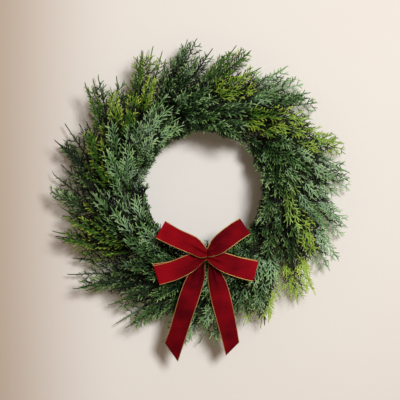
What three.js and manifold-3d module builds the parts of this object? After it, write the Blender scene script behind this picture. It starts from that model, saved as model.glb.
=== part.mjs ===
// An evergreen wreath with a velvet ribbon bow, as it hangs on a nail.
// A wire ring carries 52 sprays of cypress. Each spray's woody stem is coiled once round the ring and then leaves it
// clockwise, so that the whole wreath swirls. The bow is four ribbon loops and two tails, gathered at a waist that a
// florist's wire ties to the ring.
// Millimetres, +Z up. The wreath stands in the XZ plane and faces -Y. The origin is where the nail carries the ring.
import * as THREE from "three";
import { mergeVertices } from "three/addons/utils/BufferGeometryUtils.js";
import Module from "manifold-3d";

const wasm = await Module();
wasm.setup();

// The wire ring: a 12 inch ring of 6 mm wire, held off the wall by the foliage behind it
const RING_RADIUS = 152.5;
const RING_WIRE_RADIUS = 3;
const RING_FORWARD = 34;
const RING_SEGMENTS = 32;
const RING_SIDES = 6;

// The stems: each is coiled once round the ring, in a place of its own
const STEM_RADIUS = 1.7;
const STEM_SIDES = 3;
const COIL_RADIUS = 5.8;
const COIL_TURN = 290;
const COIL_PITCH = 6.5;
const COIL_STEPS = 5;
const ROOT_PLACES = 72;
const KEPT_FREE = [0, 36];

// The flat of a spray: a rib with forked branches in turn to the left and right
const SPRAY_THICKNESS = 1.6;
const RIB_ROOT_HALF = 1.7;
const RIB_TIP_HALF = 0.8;
const BRANCH_ANGLE = 36;
const BRANCH_SPREAD = 4;
const BRANCH_TAPER = 0.8;
const BARE_TIP = 20;
const CAMBER = 0.0016;
const SPINE_STEPS = 12;
// A branch's outline: how far out along it each corner is, and how far across as a share of the branches' pitch
const BRANCH_ROOT_HALF = 0.36;
const BRANCH_CORNERS = [[0.6, -0.48], [0.58, -0.26], [1, 0], [0.72, 0.26], [0.74, 0.48]];

// Five kinds of spray by where they lie: from the wall to the front, and round the hole
// leaves: the side of the ring that the stem leaves, 0 outward, 90 forward and 180 inward, in degrees
// headings: the stem's direction in the picture plane at its root and tip, in degrees clockwise from straight out
// forward: distance from the wall half way and at the tip; roll: turn of the flat about its stem, in degrees
// bare: length of stem before the first branch; branch: the longest branch; lift: the rise of a branch per length
// outward: how long the branches on the side away from the hole are against the others
// behind: how far round the ring the root is behind the tip, in degrees
const KINDS = {
  outer: {
    leaves: 0, length: 205, headings: [66, 28], forward: [34, 14], roll: 14,
    bare: 54, branch: 64, outward: 1, branches: 9, lift: 0.1, behind: 40,
  },
  middle: {
    leaves: 48, length: 164, headings: [68, 38], forward: [66, 48], roll: 14,
    bare: 26, branch: 68, outward: 1, branches: 9, lift: 0.1, behind: 40,
  },
  front: {
    leaves: 88, length: 136, headings: [84, 50], forward: [88, 66], roll: 12,
    bare: 26, branch: 58, outward: 1, branches: 8, lift: 0.1, behind: 38,
  },
  crest: {
    leaves: 120, length: 136, headings: [102, 80], forward: [118, 84], roll: -6,
    bare: 28, branch: 54, outward: 1, branches: 8, lift: 0.1, behind: 48,
  },
  inner: {
    leaves: 178, length: 120, headings: [124, 76], forward: [42, 60], roll: -18,
    bare: 20, branch: 44, outward: 0.6, branches: 8, lift: 0.1, behind: 50,
  },
};
// Where the tips of the outer sprays point, in degrees clockwise from the top, and which of the sprays are lime
const OUTER_TIPS = [2, 20, 40, 57, 73, 92, 108, 123, 139, 158, 178, 197, 215, 234, 254, 276, 296, 317, 338];
const LIME_TIPS = [20, 73, 139, 158, 254, 317, 338];
const MIDDLE_COUNT = 11;
const MIDDLE_LIMES = [0, 1, 3, 7, 8, 9];
const FRONT_COUNT = 8;
const FRONT_LIMES = [0];
const CREST_COUNT = 5;
const INNER_COUNT = 9;

// The bow: 38 mm velvet ribbon. Each edge of a loop or tail is listed from the waist to its far end, in millimetres
// right of and above the waist. forward: how far each layer stands in front of the waist at its root and its fullest
const RIBBON_THICKNESS = 1.2;
const RIBBON_STRIPS = 2;
const WAIST_X = 6.6;
const WAIST_BELOW_CENTRE = 125;
const WAIST_FORWARD = 106;
const LOOP_STEPS = 6;
const LOOP_ROOT_WEB = 2.4;
const LOOPS = {
  upper_left: {
    upper: [[-0.8, 8], [-5.2, 16.4], [-20.2, 32.6], [-53.6, 49.2], [-81.4, 65.4]],
    lower: [[-0.8, -2.6], [-12.4, -5.4], [-30.2, 1.6], [-78, 22], [-100.2, 33]],
    front: [6.8, 20],
    back: [3.9, 9],
  },
  upper_right: {
    upper: [[0.8, 8], [2.4, 16.4], [15.4, 36.4], [46.4, 60.8], [63.2, 70.4]],
    lower: [[0.8, -2.6], [13.2, -2.4], [29.8, 4.2], [66.4, 29.8], [83.8, 40.8]],
    front: [6.8, 20],
    back: [3.9, 9],
  },
  lower_left: {
    upper: [[-0.8, 3], [-14, 1.5], [-29.2, 2], [-73.6, -14.6], [-105.8, -22.4]],
    lower: [[-0.8, -8], [-8, -14], [-24.6, -30.2], [-53.6, -46.4], [-93.6, -59.2]],
    front: [0.9, 4.5],
    back: [-1.9, -9],
  },
  lower_right: {
    upper: [[0.8, 3], [14, 2.5], [29.8, 3.8], [66.4, -6.4], [99.8, -13.6]],
    lower: [[0.8, -8], [5, -16], [26.4, -31.4], [66.4, -46.4], [90.8, -51.8]],
    front: [0.9, 4.5],
    back: [-1.9, -9],
  },
};
const TAIL_STEPS = 9;
const TAILS = {
  left: {
    inner: [[-1, -1], [-4.8, -24], [-4.6, -42.4], [-13.6, -78], [-31.4, -131.4], [-58, -213.6]],
    outer: [[-4, 1], [-20, -16], [-41, -48], [-53.6, -80.2], [-73.6, -149.2], [-83.6, -176.8]],
  },
  right: {
    inner: [[1, -1], [3.2, -24], [2, -46.8], [7.6, -86.8], [24.2, -149.2], [37.6, -201.4]],
    outer: [[4, 1], [14, -16], [33, -46], [43.2, -73.6], [57.6, -142], [63.2, -175.8]],
  },
};
const TAIL_ROOT_FORWARD = -4;
const TAIL_DIP = -7;
const TAIL_DIP_ENDS = 0.14;
const TAIL_DROP = -36;
const TAIL_WAVE = 2;

// The florist's wire round the waist and the ring
const TIE_RADIUS = 1;
const TIE_SIDES = 4;
const TIE_STEPS = 20;

const DARK_GREEN = new THREE.MeshStandardMaterial({ color: "#2f5138", roughness: 0.62, metalness: 0 });
const LIME_GREEN = new THREE.MeshStandardMaterial({ color: "#7fa32a", roughness: 0.58, metalness: 0 });
const RED_VELVET = new THREE.MeshStandardMaterial({ color: "#86090f", roughness: 0.85, metalness: 0 });
const RING_STEEL = new THREE.MeshStandardMaterial({ color: "#2c3a2c", roughness: 0.45, metalness: 0.6 });
const TIE_GREEN = new THREE.MeshStandardMaterial({ color: "#1f5a2c", roughness: 0.5, metalness: 0.2 });

const radians = THREE.MathUtils.degToRad;
const lerp = THREE.MathUtils.lerp;
const RING_CENTRE_Z = RING_WIRE_RADIUS - RING_RADIUS;
const WALL_Y = RING_FORWARD;

// A point by its distance from the ring's axis, its angle clockwise from the top and its distance from the wall
function place(radius, angle, forward) {
  return new THREE.Vector3(radius * Math.sin(angle), WALL_Y - forward, radius * Math.cos(angle));
}

// A repeatable draw from 0 to 1 for each spray and each use of it
function draw(spray, use) {
  const wave = Math.sin(spray * 12.9898 + use * 78.233) * 43758.5453;
  return wave - Math.floor(wave);
}

function vary(spray, use, spread) {
  return (2 * draw(spray, use) - 1) * spread;
}

// Solids in and out of manifold-3d
function solidOf(geometry) {
  const bare = geometry.clone();
  bare.deleteAttribute("normal");
  bare.deleteAttribute("uv");
  const merged = mergeVertices(bare, 1e-4);
  return new wasm.Manifold(new wasm.Mesh({
    numProp: 3,
    vertProperties: merged.attributes.position.array,
    triVerts: new Uint32Array(merged.index.array),
  }));
}

function geometryOf(solid) {
  const mesh = solid.getMesh();
  const geometry = new THREE.BufferGeometry();
  geometry.setAttribute("position", new THREE.BufferAttribute(mesh.vertProperties, 3));
  geometry.setIndex(new THREE.BufferAttribute(mesh.triVerts, 1));
  geometry.computeVertexNormals();
  return geometry;
}

// A regular section for a wire or a stem
function roundSection(radius, sides) {
  const corners = [];
  for (let i = 0; i < sides; i++) {
    const turn = (2 * Math.PI * i) / sides;
    corners.push(new THREE.Vector2(radius * Math.cos(turn), radius * Math.sin(turn)));
  }
  return new THREE.Shape(corners);
}

// The stem's coil round the ring, ending where the spray leaves it at angle zero
class StemCoil extends THREE.Curve {
  constructor(leaves) {
    super();
    this.leaves = leaves;
  }

  getPoint(t, target = new THREE.Vector3()) {
    const turn = radians(this.leaves - COIL_TURN * (1 - t));
    const angle = (-COIL_PITCH * (1 - t)) / RING_RADIUS;
    const radius = RING_RADIUS + COIL_RADIUS * Math.cos(turn);
    return target.copy(place(radius, angle, RING_FORWARD + COIL_RADIUS * Math.sin(turn)));
  }
}

// The line of a spray's stem, from its coil to its tip
function spineOf(kind, seed) {
  const length = kind.length * (1 + vary(seed, 1, 0.06));
  const turned = vary(seed, 2, 3);
  const raised = vary(seed, 3, 3);
  const leaves = radians(kind.leaves);
  const rootForward = RING_FORWARD + COIL_RADIUS * Math.sin(leaves);
  const step = length / SPINE_STEPS;
  let radius = RING_RADIUS + COIL_RADIUS * Math.cos(leaves);
  let angle = 0;
  const points = [];
  for (let i = 0; i <= SPINE_STEPS; i++) {
    const t = i / SPINE_STEPS;
    const early = (1 - t) * (1 - t) * rootForward;
    const forward = early + 2 * t * (1 - t) * kind.forward[0] + t * t * (kind.forward[1] + raised);
    points.push(place(radius, angle, forward));
    const heading = radians(lerp(kind.headings[0], kind.headings[1] + turned, Math.pow(t, 0.7)));
    radius += step * Math.cos(heading);
    angle += (step * Math.sin(heading)) / radius;
  }
  return new THREE.CatmullRomCurve3(points);
}

// The flat outline of a spray, along its stem and out to each side
function sprayOutline(kind, length, seed) {
  const outline = [];
  const leafy = length - kind.bare - BARE_TIP;
  const pitch = ((2 * leafy) / (kind.branches - 1)) * Math.sin(radians(BRANCH_ANGLE));
  const ribHalf = (along) => lerp(RIB_ROOT_HALF, RIB_TIP_HALF, along / length);
  for (const side of [-1, 1]) {
    const edge = [[0, side * RIB_ROOT_HALF], [kind.bare / 2, side * ribHalf(kind.bare / 2)]];
    for (let i = side < 0 ? 0 : 1; i < kind.branches; i += 2) {
      const share = i / (kind.branches - 1);
      const root = kind.bare + leafy * share;
      const fullness = Math.min(0.75 + 1.1 * share, 1.16 - 0.84 * share);
      const reach = kind.branch * fullness * (side > 0 ? kind.outward : 1) * (1 + vary(seed, 10 + i, 0.12));
      const angle = radians(BRANCH_ANGLE + vary(seed, 30 + i, BRANCH_SPREAD));
      const width = pitch * lerp(1, BRANCH_TAPER, share);
      const corners = BRANCH_CORNERS.map(([part, across]) => [
        root + part * reach * Math.cos(angle) + across * width * Math.sin(angle),
        side * (ribHalf(root) + part * reach * Math.sin(angle) - across * width * Math.cos(angle)),
      ]);
      edge.push([root - BRANCH_ROOT_HALF * width, side * ribHalf(root)]);
      edge.push(...corners);
      edge.push([root + BRANCH_ROOT_HALF * width, side * ribHalf(root)]);
    }
    outline.push(...(side < 0 ? edge : edge.reverse()));
    if (side < 0) outline.push([length, 0]);
  }
  return outline.map(([along, out]) => new THREE.Vector2(along, out));
}

// One spray: its flat outline bent along the stem, with its branches lifted in turn, fused to the stem's coil
function spray(kind, seed) {
  const spine = spineOf(kind, seed);
  const length = spine.getLength();
  const flat = new THREE.ExtrudeGeometry(new THREE.Shape(sprayOutline(kind, length, seed)), {
    depth: SPRAY_THICKNESS,
    bevelEnabled: false,
  });
  const forwards = new THREE.Vector3(0, -1, 0);
  const roll = radians(kind.roll + vary(seed, 4, 4));
  const pairPitch = (2 * (length - kind.bare - BARE_TIP)) / (kind.branches - 1);
  const points = flat.attributes.position;
  for (let i = 0; i < points.count; i++) {
    const along = points.getX(i);
    const out = points.getY(i);
    const at = THREE.MathUtils.clamp(along / length, 0, 1);
    const tangent = spine.getTangentAt(at);
    const side = forwards.clone().cross(tangent).normalize();
    const normal = tangent.clone().cross(side);
    const turn = roll * THREE.MathUtils.smoothstep(along, 0, kind.bare);
    const flatSide = side.clone().multiplyScalar(Math.cos(turn)).addScaledVector(normal, Math.sin(turn));
    const flatNormal = tangent.clone().cross(flatSide);
    const root = along - Math.abs(out) / Math.tan(radians(BRANCH_ANGLE));
    const lifted = kind.lift * Math.abs(out) * Math.sin((Math.PI * (root - kind.bare)) / pairPitch + seed);
    const rise = points.getZ(i) - SPRAY_THICKNESS / 2 + lifted - CAMBER * out * out;
    const point = spine.getPointAt(at).addScaledVector(flatSide, out).addScaledVector(flatNormal, rise);
    points.setXYZ(i, point.x, point.y, point.z);
  }
  const coil = new THREE.ExtrudeGeometry(roundSection(STEM_RADIUS, STEM_SIDES), {
    steps: COIL_STEPS,
    bevelEnabled: false,
    extrudePath: new StemCoil(kind.leaves),
  });
  return geometryOf(solidOf(flat).add(solidOf(coil)));
}

// Every spray's kind, colour and tip. Each is then rooted in the free place nearest to where its tip wants it
function layOutSprays() {
  const list = OUTER_TIPS.map((tip) => ({ kind: "outer", lime: LIME_TIPS.includes(tip), tip }));
  const addEvenly = (kind, count, first, lime) => {
    for (let i = 0; i < count; i++) {
      list.push({ kind, lime: lime.includes(i), tip: first + (360 * i) / count });
    }
  };
  addEvenly("inner", INNER_COUNT, 3, []);
  addEvenly("middle", MIDDLE_COUNT, 31, MIDDLE_LIMES);
  addEvenly("front", FRONT_COUNT, 44, FRONT_LIMES);
  addEvenly("crest", CREST_COUNT, 41, []);
  const taken = new Set(KEPT_FREE);
  list.forEach((one, i) => {
    const wanted = Math.round(((one.tip - KINDS[one.kind].behind) * ROOT_PLACES) / 360);
    let step = 0;
    const tried = () => (wanted + step + 2 * ROOT_PLACES) % ROOT_PLACES;
    while (taken.has(tried())) step = step > 0 ? -step : 1 - step;
    taken.add(tried());
    one.root = (360 * tried()) / ROOT_PLACES;
    one.seed = i + 1;
  });
  return list;
}

// A length of ribbon: its edge-on outline runs out from the waist, and its width is spread between the two edges
function ribbon(outline, inside, edges) {
  const ordered = edges[0].at(-1)[0] < 0 ? edges.reverse() : edges;
  const curves = ordered.map((edge) => new THREE.CatmullRomCurve3(edge.map(([x, z]) => new THREE.Vector3(x, 0, z))));
  const shape = new THREE.Shape(outline);
  if (inside) shape.holes.push(new THREE.Path(inside));
  const geometry = new THREE.ExtrudeGeometry(shape, { depth: 1, steps: RIBBON_STRIPS, bevelEnabled: false });
  const points = geometry.attributes.position;
  for (let i = 0; i < points.count; i++) {
    const share = THREE.MathUtils.clamp(points.getX(i), 0, 1);
    const ends = curves.map((curve) => curve.getPointAt(share));
    const point = ends[0].lerp(ends[1], points.getZ(i));
    points.setXYZ(i, point.x, points.getY(i), point.z);
  }
  return geometry;
}

// Edge-on outlines measure the share of the reach across and the distance behind the waist up
function bowLoop(loop) {
  const reach = Math.hypot(...[0, 1].map((i) => (loop.upper.at(-1)[i] + loop.lower.at(-1)[i]) / 2));
  const front = (t) => lerp(loop.front[0], loop.front[1], 0.7 * Math.sin(Math.PI * Math.pow(t, 0.8)) + 0.3 * t);
  const back = (t) => lerp(loop.back[0], loop.back[1], 0.5 * Math.sin(Math.PI * Math.pow(t, 1.3)) + 0.5 * t);
  const middle = (front(1) + back(1)) / 2;
  const fold = (front(1) - back(1)) / 2;
  const straight = reach - fold - RIBBON_THICKNESS / 2;
  const profile = (inset) => {
    const half = RIBBON_THICKNESS / 2 - inset;
    const start = inset > 0 ? LOOP_ROOT_WEB : 0;
    const outwards = Array.from({ length: LOOP_STEPS + 1 }, (_, i) => i / LOOP_STEPS);
    const along = (t) => lerp(start, straight, t);
    return [
      ...outwards.map((t) => [along(t), front(along(t) / straight) + half]),
      ...[60, 20, -20, -60].map((turn) => [
        straight + (fold + half) * Math.cos(radians(turn)),
        middle + (fold + half) * Math.sin(radians(turn)),
      ]),
      ...outwards.reverse().map((t) => [along(t), back(along(t) / straight) - half]),
    ].map(([out, forward]) => new THREE.Vector2(out / reach, -forward));
  };
  return ribbon(profile(0), profile(RIBBON_THICKNESS), [loop.lower, loop.upper]);
}

function bowTail(tail) {
  const dips = (t) => TAIL_ROOT_FORWARD + TAIL_DIP * THREE.MathUtils.smoothstep(t, 0, TAIL_DIP_ENDS);
  const waves = (t) => TAIL_WAVE * t * Math.sin(2 * Math.PI * t);
  const forward = (t) => dips(t) + TAIL_DROP * Math.pow(t, 2.4) + waves(t);
  const outwards = Array.from({ length: TAIL_STEPS + 1 }, (_, i) => i / TAIL_STEPS);
  const front = outwards.map((t) => new THREE.Vector2(t, -forward(t) - RIBBON_THICKNESS / 2));
  const back = outwards.map((t) => new THREE.Vector2(t, -forward(t) + RIBBON_THICKNESS / 2));
  return ribbon([...front, ...back.reverse()], null, [tail.inner, tail.outer]);
}

// The florist's wire: a long loop round the waist in front and the ring behind
function tieWire() {
  const waist = new THREE.Vector3(WAIST_X, WALL_Y - WAIST_FORWARD, -WAIST_BELOW_CENTRE);
  const ring = place(RING_RADIUS, Math.PI, RING_FORWARD);
  const points = [
    waist.clone().add(new THREE.Vector3(0, -11, 2)),
    waist.clone().add(new THREE.Vector3(0, -10.4, 8.5)),
    waist.clone().add(new THREE.Vector3(0, -1, 11.5)),
    waist.clone().add(new THREE.Vector3(0, 12, 9)),
    ring.clone().add(new THREE.Vector3(3, -20, 8)),
    ring.clone().add(new THREE.Vector3(0, -3, 6)),
    ring.clone().add(new THREE.Vector3(0, 5, 4.4)),
    ring.clone().add(new THREE.Vector3(0, 5, -4.4)),
    ring.clone().add(new THREE.Vector3(0, -3, -6)),
    ring.clone().add(new THREE.Vector3(3, -20, -2)),
    waist.clone().add(new THREE.Vector3(0, 12, -9)),
    waist.clone().add(new THREE.Vector3(0, 0, -11)),
    waist.clone().add(new THREE.Vector3(0, -8.6, -6)),
  ];
  const path = new THREE.CatmullRomCurve3(points, true);
  return new THREE.ExtrudeGeometry(roundSection(TIE_RADIUS, TIE_SIDES), {
    steps: TIE_STEPS,
    bevelEnabled: false,
    extrudePath: path,
  });
}

function named(name, geometry, material) {
  const mesh = new THREE.Mesh(geometry, material);
  mesh.name = name;
  return mesh;
}

const wreath = new THREE.Group();
wreath.position.z = RING_CENTRE_Z;

const ringGeometry = new THREE.TorusGeometry(RING_RADIUS, RING_WIRE_RADIUS, RING_SIDES, RING_SEGMENTS);
const ring = named("ring_wire", ringGeometry, RING_STEEL);
ring.rotation.x = Math.PI / 2;
wreath.add(ring);

const counts = {};
for (const one of layOutSprays()) {
  const group = one.lime ? one.kind + "_lime" : one.kind + "_green";
  counts[group] = (counts[group] || 0) + 1;
  const name = "spray_" + group + "_" + String(counts[group]).padStart(2, "0");
  const mesh = named(name, spray(KINDS[one.kind], one.seed), one.lime ? LIME_GREEN : DARK_GREEN);
  mesh.rotation.y = radians(one.root);
  wreath.add(mesh);
}

const bow = new THREE.Group();
bow.position.set(WAIST_X, WALL_Y - WAIST_FORWARD, -WAIST_BELOW_CENTRE);
for (const [name, loop] of Object.entries(LOOPS)) {
  bow.add(named("bow_loop_" + name, bowLoop(loop), RED_VELVET));
}
for (const [name, tail] of Object.entries(TAILS)) {
  bow.add(named("bow_tail_" + name, bowTail(tail), RED_VELVET));
}
wreath.add(bow);
wreath.add(named("bow_tie_wire", tieWire(), TIE_GREEN));

const part = new THREE.Group();
part.add(wreath);

export default part;
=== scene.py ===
"""Dresses the evergreen wreath: cypress sprays, a pleated velvet bow with gold edges, and the wall behind.

Lengths are in millimetres until a mesh is made. The wreath stands in the XZ plane and faces -Y.
"""

import math
import random

import bpy
import numpy as np
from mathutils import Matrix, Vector


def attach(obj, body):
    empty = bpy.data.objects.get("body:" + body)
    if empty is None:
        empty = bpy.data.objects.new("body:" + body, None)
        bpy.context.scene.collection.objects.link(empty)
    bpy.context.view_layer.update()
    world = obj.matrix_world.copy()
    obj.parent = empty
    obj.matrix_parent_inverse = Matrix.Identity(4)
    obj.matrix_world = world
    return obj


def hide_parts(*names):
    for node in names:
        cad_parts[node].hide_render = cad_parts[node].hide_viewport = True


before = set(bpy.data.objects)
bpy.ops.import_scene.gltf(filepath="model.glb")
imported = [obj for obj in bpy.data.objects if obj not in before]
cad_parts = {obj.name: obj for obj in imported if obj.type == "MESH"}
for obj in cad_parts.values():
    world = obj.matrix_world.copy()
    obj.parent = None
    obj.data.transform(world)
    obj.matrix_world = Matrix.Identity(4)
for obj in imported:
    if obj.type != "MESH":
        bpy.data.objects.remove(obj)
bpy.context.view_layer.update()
MM = 0.001

# The sockets of a mix node that carry colours. Others beside them have the same names
MIX_FIRST = 6
MIX_SECOND = 7
MIX_RESULT = 2

# The wire ring. Distances forward count from WALL_Y, a plane just behind the wreath. The wall that shows
# stands a little clear of it
RING_RADIUS = 152.5
RING_WIRE_RADIUS = 3.0
RING_FORWARD = 34.0
RING_CENTRE_Z = RING_WIRE_RADIUS - RING_RADIUS
WALL_Y = RING_FORWARD
WALL_CLEARANCE = 14

# The stems: each is coiled round the ring in a place of its own. Two places are kept free: the top one,
# where the wreath hangs, and the bottom one, where the bow is tied. The woody part of a stem leaves the
# ring and ends at a share of the way to the first branch
STEM_RADIUS = 1.5
STEM_TIP_RADIUS = 1.2
STEM_LEAVES = 2
STEM_WOODY = 0.7
STEM_STEPS = 8
STEM_SIDES = 7
COIL_RADIUS = 5.8
COIL_TURN = 290
COIL_PITCH = 6.5
COIL_STEPS = 26
ROOT_PLACES = 72
KEPT_FREE = (0, 36)

# The flat plan of a spray: a rib with branches in turn to the left and right. SPRAY_OUTLINE says how long
# they are against the longest, by the lower of two lines over the rib: a start and a slope each. Near the
# tip they are shorter still, eased over BRANCHES_FADE by their distance from it. The twig along the rib
# begins at a share of the stem's bare part
RIB_ROOT_HALF = 1.7
RIB_BEGINS = 0.5
BRANCH_ANGLE = 36
BRANCH_SPREAD = 4
BRANCH_LIFT = 0.1
BARE_TIP = 20
CAMBER = 0.0016
SPINE_STEPS = 12
HEADING_EASE = 0.7
SPRAY_OUTLINE = ((0.75, 1.1), (1.16, -0.84))
BRANCHES_FADE = (-20, 45)

# How much the sprays of a kind differ: in length and reach as shares, in heading and roll in degrees, in
# height, and in the tone of their leaves round a middle one
LENGTH_SPREAD = 0.06
HEADING_SPREAD = 3
HEIGHT_SPREAD = 3
ROLL_SPREAD = 4
REACH_SPREAD = 0.12
TONE = 0.5
TONE_SPREAD = 0.25

# Five kinds of spray by where they lie: from the wall to the front, and round the hole
# leaves: the side of the ring that the stem leaves, 0 outward, 90 forward and 180 inward, in degrees
# headings: the stem's direction in the picture plane at its root and tip, in degrees clockwise from outward
# forward: the pull away from the wall half way, and the distance from it at the tip
# roll: turn of the flat about its stem, in degrees
# bare: length of stem before the first branch; branch: the longest branch
# outward: how long the branches on the side away from the hole are against the others
# behind: how far round the ring the root is behind the tip, in degrees
KINDS = {
    "outer": {
        "leaves": 0, "length": 205, "headings": (66, 28), "forward": (34, 14), "roll": 14,
        "bare": 54, "branch": 64, "outward": 1, "branches": 9, "behind": 40,
    },
    "middle": {
        "leaves": 48, "length": 164, "headings": (68, 38), "forward": (66, 48), "roll": 14,
        "bare": 26, "branch": 68, "outward": 1, "branches": 9, "behind": 40,
    },
    "front": {
        "leaves": 88, "length": 136, "headings": (84, 50), "forward": (88, 66), "roll": 12,
        "bare": 26, "branch": 58, "outward": 1, "branches": 8, "behind": 38,
    },
    "crest": {
        "leaves": 120, "length": 136, "headings": (102, 80), "forward": (118, 84), "roll": -6,
        "bare": 28, "branch": 54, "outward": 1, "branches": 8, "behind": 48,
    },
    "inner": {
        "leaves": 178, "length": 120, "headings": (124, 76), "forward": (42, 60), "roll": -18,
        "bare": 20, "branch": 44, "outward": 0.6, "branches": 8, "behind": 50,
    },
}

# Where the tips of the outer sprays are, in degrees clockwise from the top, and which are lime. The other
# kinds are evenly spaced: kind, how many, where the first tip is, and which of them are lime
OUTER_TIPS = (2, 20, 40, 57, 73, 92, 108, 123, 139, 158, 178, 197, 215, 234, 254, 276, 296, 317, 338)
LIME_TIPS = (20, 73, 139, 158, 254, 317, 338)
EVEN_SPRAYS = (
    ("inner", 9, 3, ()),
    ("middle", 11, 31, (0, 1, 3, 7, 8, 9)),
    ("front", 8, 44, (0,)),
    ("crest", 5, 41, ()),
)

# The twigs. Each is a run of three-sided segments that ends in a point. A branch carries branchlets in turn
# on its two sides, and a branchlet carries small lobes. Angles in degrees. BRANCH_OUTLINE gives places
# along a branch, and how long its branchlets are there against the longest. A branch narrows from the first
# share of its width to the second, and a branchlet starts at a share and widens by another. A rib is bare
# at first, and then has branchlets from 12 mm down to 7 mm long. RIDGE and UNDERSIDE are how far the middle
# of a twig rises and its sides drop, against its half width
BRANCH_STEP = 4.2
BRANCH_HALF = 0.95
BRANCH_TAPER = (1.1, 0.8)
BRANCH_CURVE = 30
BRANCH_WIDTH = 9.5
BRANCH_OUTLINE = ((0, 0.3, 0.7, 1), (0.6, 1, 0.8, 0.35))
BRANCHLET_ANGLE = 26
BRANCHLET_STEP = 3.9
BRANCHLET_HALF = 0.78
BRANCHLET_FLARE = (0.8, 0.3)
LOBE_ANGLE = 30
LOBE_LENGTH = 3.2
LOBE_HALF = 0.66
RIB_STEP = 5
RIB_BARE = 0.2
RIB_BRANCHLETS = (12, 7)
RIDGE = 0.85
UNDERSIDE = 0.35

# Age runs from 0 on old wood to 1 at the newest tips. This much is added along each kind of twig, and along
# a rib to the root of its last branch
AGES = {"branch_root": 0.25, "rib": 0.5, "branch": 0.4, "branchlet": 0.35, "lobe": 0.15}

# How far chance moves each kind of twig: turn in degrees, start and length as shares, climb as a slope,
# tone as such, and curl in radians. The length of a branchlet on a rib is moved in millimetres
SPREADS = {
    "frond": {"turn": 4, "length": 0.06, "climb": 0.03, "tone": 0.25},
    "frond_branch": {"start": 0.02, "length": 0.14, "turn": 5, "climb": 0.1, "tone": 0.3},
    "rib": {"curl": 0.1},
    "rib_branchlet": {"turn": 6, "length": 2, "climb": 0.3},
    "branch": {"turn": 3, "climb": 0.08, "tone": 0.3, "curl": 0.14},
    "branchlet": {"turn": 6, "climb": 0.2, "tone": 0.5, "length": 0.2, "curl": 0.14},
    "lobe": {"turn": 8, "length": 0.25, "climb": 0.3},
}

# A branch of the main frond has a slightly shorter one near it, on the other side of the rib
PAIRED_LENGTH = 0.9
PAIRED_SHIFT = 3

# The smaller fronds on each stem: turn from its line in degrees, climb out of its flat, start and length as
# shares of the stem's length. Lime sprays are narrow plumes that rise above the others. Green ones have
# wide fronds too. Inner sprays have more near the root, and they and the crest have more past the tip, so
# that no gap is left before the next one
SIDE_FRONDS = ((11, 0.17, 0.12, 0.84), (-12, 0.12, 0.16, 0.82), (5, -0.08, 0.2, 0.76), (-4, 0.3, 0.1, 0.55))
LIME_FRONDS = ((9, 0.26, 0.12, 0.84), (-10, 0.22, 0.16, 0.82), (3, 0.12, 0.2, 0.78), (-3, 0.36, 0.1, 0.64))
WIDE_FRONDS = ((22, 0.24, 0.05, 0.6), (-22, 0.2, 0.08, 0.62))
ROOT_FRONDS = ((38, 0.1, 0.02, 0.62), (64, 0.14, 0.02, 0.5), (-24, 0.1, 0.0, 0.5))
END_FRONDS = ((8, -0.04, 0.34, 0.8), (27, 0.08, 0.36, 0.76), (-14, 0.04, 0.3, 0.72))

# A smaller frond has pairs of branches, from a share of its length on and over another. FROND_BRANCH is its
# longest branch against the spray's, and FROND_OUTLINE works as SPRAY_OUTLINE does
FROND_BRANCH = 0.5
FROND_PITCH = 12
FROND_ANGLE = 29
FROND_HALF = 1.4
FROND_OUTLINE = ((0.7, 1.1), (1.3, -1.02))
FROND_BRANCHED = (0.16, 0.68)

# The shoot at the end of a rib, which has lobes alone, and how far the outer ones run past the solid's tip
SHOOT_SHARE = 0.87
SHOOT_HALF = 0.95
SHOOT_LOBES = (1.1, 0.7)
LEADER = 12

# The wreath is a little fuller on one side, and its leaves differ in bloom round the ring. The bloom values
# carry
# painted light too: higher ones make the leaves fresher and brighter, lower ones darker, as if lit or shaded.
# A side is in degrees clockwise from the top. Each pair is a middle value and how much it rises on that side
FULLER_SIDE = 250
FULLNESS = (1.0, 0.09)
OUTER_LIMITS = (314, 14)
BLOOM_AND_LIGHT_SIDE = 285
BLOOMS_AND_LIGHT = {
    "outer": (0.08, -0.55),
    "middle": (0.04, -0.4),
    "front": (0.05, 0.1),
    "crest": (0.1, 0.3),
    "inner": (-0.25, 0.4),
}

# Lime sprays have painted shade on one side: their tone is lowered there, as if less light reached them. One
# green spray has shoots as yellow as theirs round a place, given in millimetres right of and above the point
# where the
# wreath hangs: all of them up to the first reach, and none past the second
LIME_SHADE_SIDE = 318
LIME_PAINTED_SHADE = (0, -0.26)
YELLOW_LEAF = "#aacf3c"
YELLOW_SPRAY = "spray_crest_green_02"
YELLOW_PLACE = (196, -184)
YELLOW_REACH = (36, 56)

# Foliage stays between the wall and the front of the solids, and out of the hole. HOLE_TUFTS makes the
# hole's edge uneven: waves round it, and their height. A branch that would pass the edge is cut to the
# first of CUT_SHARES that stays out. Under the waist of the bow the foliage reaches further into the hole
LEFT_LIMIT = -308
BACK_LIMIT = 27
FRONT_LIMIT = -93
HOLE_LIMIT = 104
HOLE_EDGE = 114
HOLE_TUFTS = ((17, 2.0), (31, 2.0), (53, 1.5))
CUT_SHARES = (1, 0.85, 0.7, 0.55, 0.4)
WAIST_FILL = 20
WAIST_FILL_ANGLE = 0.12
LIMIT_SOFTNESS = 10

# Near the bow, foliage stays a gap behind the ribbons, which are sampled every few rows and columns. Past
# the reach to a ribbon's side it may come forward by the slope. The bow's middle is below its waist, and
# its half size is how far it reaches from there to the sides and up and down
RIBBON_SAMPLES = (4, 11)
RIBBON_GAP = 2.5
RIBBON_REACH = 6
RIBBON_SLOPE = 1.1
BOW_MIDDLE_DROP = 75
BOW_HALF_SIZE = (120, 155)

# How deep a leaf lies inside the foliage is found over square cells. Over a range of those depths, painted
# shade darkens the leaves almost to black, standing in for the shade inside the foliage.
# Branchlets deeper than HIDDEN_DEPTH from both the front and the back can't be seen, and aren't grown, but
# for those in a band round the hole
CELL = 4
CELL_MARGIN = 4
PAINTED_SHADE_DEPTHS = (2, 8)
HIDDEN_DEPTH = 15
RIM = 12
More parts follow.
